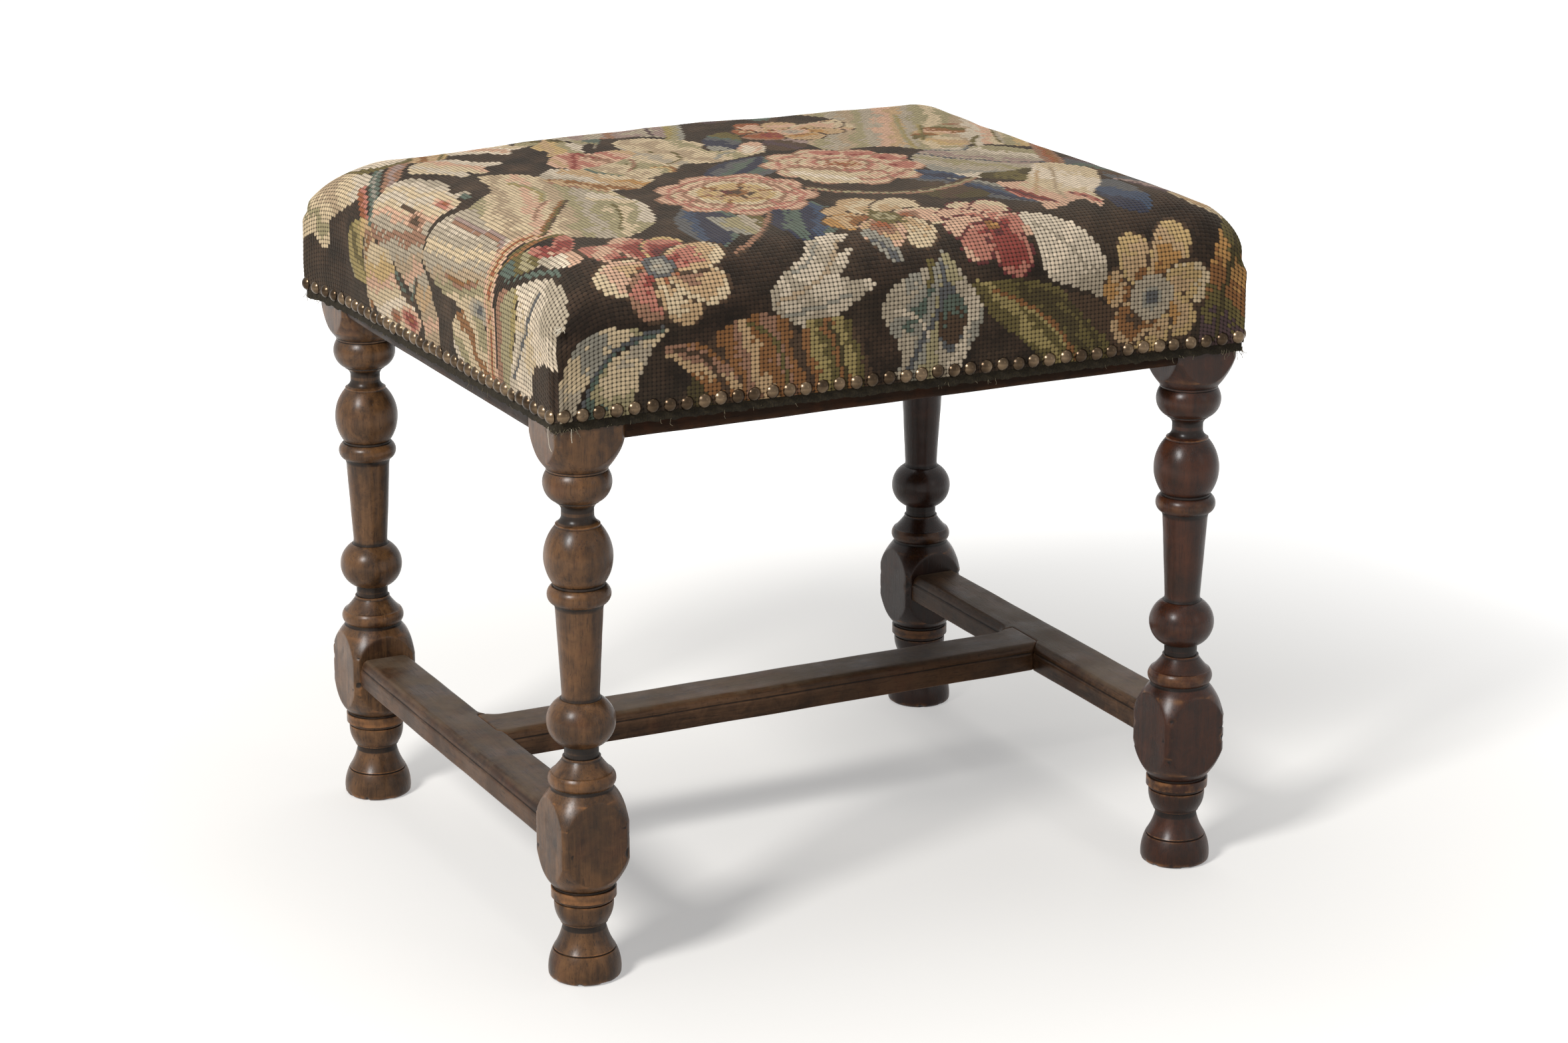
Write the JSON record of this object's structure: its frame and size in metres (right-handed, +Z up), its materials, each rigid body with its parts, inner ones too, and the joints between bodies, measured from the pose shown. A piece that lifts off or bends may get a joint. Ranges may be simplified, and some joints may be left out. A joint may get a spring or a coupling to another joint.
{
  "type": "upholstered stool",
  "caption": "Over-stuffed rectangular stool with a floral needlework seat, brass-nailed edge, baluster-turned walnut legs and a moulded H stretcher.",
  "frame": {"origin": "on the floor, under the middle of the seat", "axes": "+Z up, X along the long side of the seat, front at -Y"},
  "size_m": [0.533, 0.452, 0.5097],
  "materials": {
    "walnut": "dark waxed walnut with a worn satin polish",
    "needlework": "wool needlepoint, flowers on a dark brown ground",
    "stuffing": "curled hair pad",
    "hessian": "coarse open jute weave",
    "webbing": "twilled jute webbing with a dark stripe",
    "nails": "aged domed brass heads",
    "hem": "dark canvas edge with frayed threads"
  },
  "bodies": {
    "root": {"leg_front_left": "walnut", "leg_front_right": "walnut", "leg_back_left": "walnut", "leg_back_right": "walnut", "seat_rail_front": "walnut", "seat_rail_back": "walnut", "seat_rail_left": "walnut", "seat_rail_right": "walnut", "side_stretcher_left": "walnut", "side_stretcher_right": "walnut", "centre_stretcher": "walnut", "webbing_long": "webbing", "webbing_cross": "webbing", "base_cloth": "hessian", "edge_roll": "hessian", "stuffing": "stuffing", "seat_cover": "needlework"}
  },
  "joints": []
}
